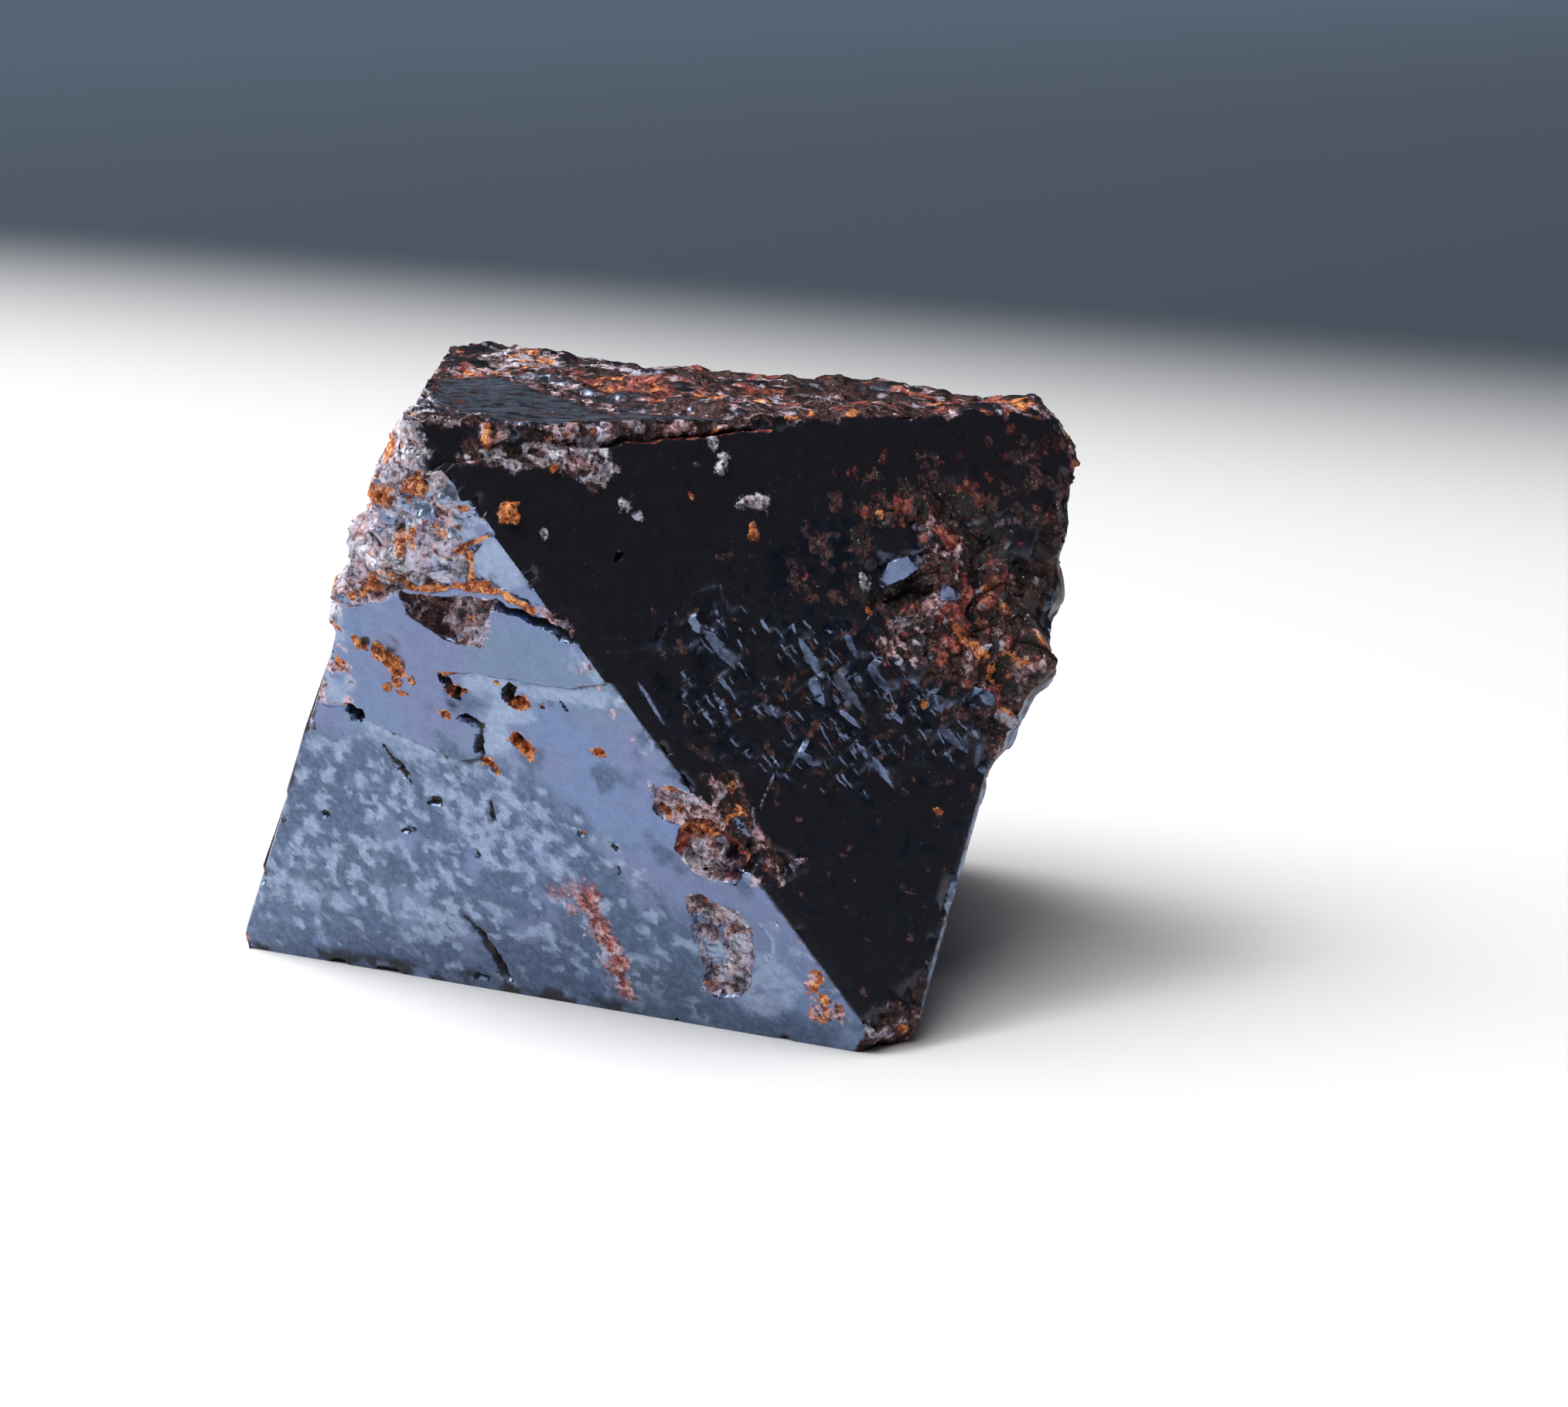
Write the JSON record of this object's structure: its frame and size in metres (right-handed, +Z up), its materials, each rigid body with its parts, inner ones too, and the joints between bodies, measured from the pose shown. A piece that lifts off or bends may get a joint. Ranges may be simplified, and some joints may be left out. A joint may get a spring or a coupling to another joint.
{
  "type": "cuprite crystal",
  "caption": "Loose octahedral cuprite crystal with a broken rough top, stepped dark faces and rusty iron-oxide crusts; rests flat on one triangular face.",
  "frame": {"origin": "on the octahedron's three-fold axis, in the face that the crystal rests on", "axes": "+Z up, out of the face it rests on; +X along the lower edge of the big undercut face; -Y is the way that face looks"},
  "size_m": [0.022, 0.0243, 0.017],
  "materials": {
    "cuprite": "dark blue-grey to black, submetallic lustre, hazy and stepped in places",
    "iron_oxide": "matt orange to rust-brown crust",
    "clay": "dry, dusty tan-grey grains"
  },
  "bodies": {
    "root": {"crystal": "cuprite"}
  },
  "joints": []
}
